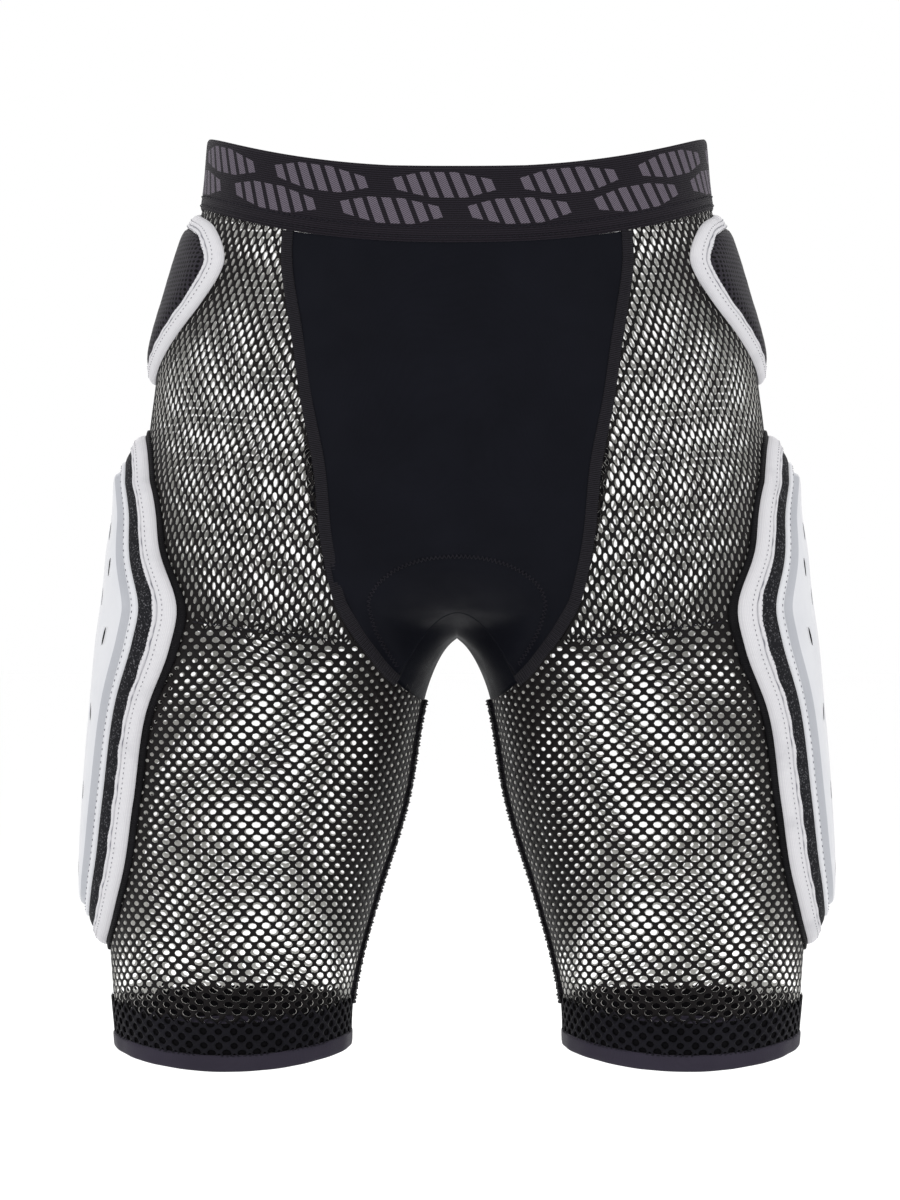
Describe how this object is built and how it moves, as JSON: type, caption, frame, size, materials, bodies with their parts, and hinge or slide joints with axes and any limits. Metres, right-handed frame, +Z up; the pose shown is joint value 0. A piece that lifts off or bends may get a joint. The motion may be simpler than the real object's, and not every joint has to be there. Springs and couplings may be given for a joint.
{
  "type": "padded impact shorts",
  "caption": "Mesh protector shorts with elastic waistband, hard thigh guards, hip and tailbone pads and a chamois, legs hinged at the hips.",
  "frame": {"origin": "centre of the waist opening's top plane", "axes": "+Z up, the wearer faces -Y, the wearer's left is +X"},
  "size_m": [0.457, 0.2595, 0.5644],
  "materials": {
    "waist_elastic": "ribbed woven elastic",
    "label_satin": "blank satin label",
    "stretch_fabric": "smooth warp-knit stretch fabric",
    "chamois_fabric": "brushed chamois fabric",
    "pad_foam": "closed-cell foam",
    "hole_mesh": "open-hole knitted mesh",
    "seam_tape": "overlocked seam",
    "spacer_mesh": "three-dimensional spacer mesh",
    "white_binding": "folded woven tape",
    "cuff_mesh": "doubled open-hole mesh",
    "hem_tape": "smooth folded tape",
    "black_felt": "dense felt",
    "speckled_felt": "black felt with grey fibres",
    "white_shell": "moulded semi-gloss plastic"
  },
  "bodies": {
    "pelvis": {"waistband": "waist_elastic", "care_label": "label_satin", "front_panel": "stretch_fabric", "seat_panel": "stretch_fabric", "crotch_gusset": "stretch_fabric", "chamois_foam": "pad_foam", "chamois_cover": "chamois_fabric", "tail_pad_foam": "pad_foam", "tail_pad_cover": "spacer_mesh", "tail_pad_binding": "white_binding", "left_hip_mesh": "hole_mesh", "left_front_seam_tape": "seam_tape", "left_back_seam_tape": "seam_tape", "left_hip_pad_foam": "pad_foam", "left_hip_pad_cover": "spacer_mesh", "left_hip_pad_binding": "white_binding", "right_hip_mesh": "hole_mesh", "right_front_seam_tape": "seam_tape", "right_back_seam_tape": "seam_tape", "right_hip_pad_foam": "pad_foam", "right_hip_pad_cover": "spacer_mesh", "right_hip_pad_binding": "white_binding"},
    "left_leg": {"left_leg_mesh": "hole_mesh", "left_side_panel": "hole_mesh", "left_inseam_tape": "seam_tape", "left_hem_cuff": "cuff_mesh", "left_hem_tape": "hem_tape", "left_guard_backing": "black_felt", "left_guard_foam": "pad_foam", "left_guard_felt": "speckled_felt", "left_guard_binding": "white_binding", "left_guard_shell": "white_shell"},
    "right_leg": {"right_leg_mesh": "hole_mesh", "right_side_panel": "hole_mesh", "right_inseam_tape": "seam_tape", "right_hem_cuff": "cuff_mesh", "right_hem_tape": "hem_tape", "right_guard_backing": "black_felt", "right_guard_foam": "pad_foam", "right_guard_felt": "speckled_felt", "right_guard_binding": "white_binding", "right_guard_shell": "white_shell"}
  },
  "joints": [
    {"name": "left_hip_flex", "type": "hinge", "parent": "pelvis", "child": "left_leg", "pos_m": [0.118, 0.004, -0.215], "axis": [-1, 0, 0], "range_deg": [-15, 45], "stiffness_Nm_per_rad": 0.4},
    {"name": "right_hip_flex", "type": "hinge", "parent": "pelvis", "child": "right_leg", "pos_m": [-0.118, 0.004, -0.215], "axis": [-1, 0, 0], "range_deg": [-15, 45], "stiffness_Nm_per_rad": 0.4}
  ]
}
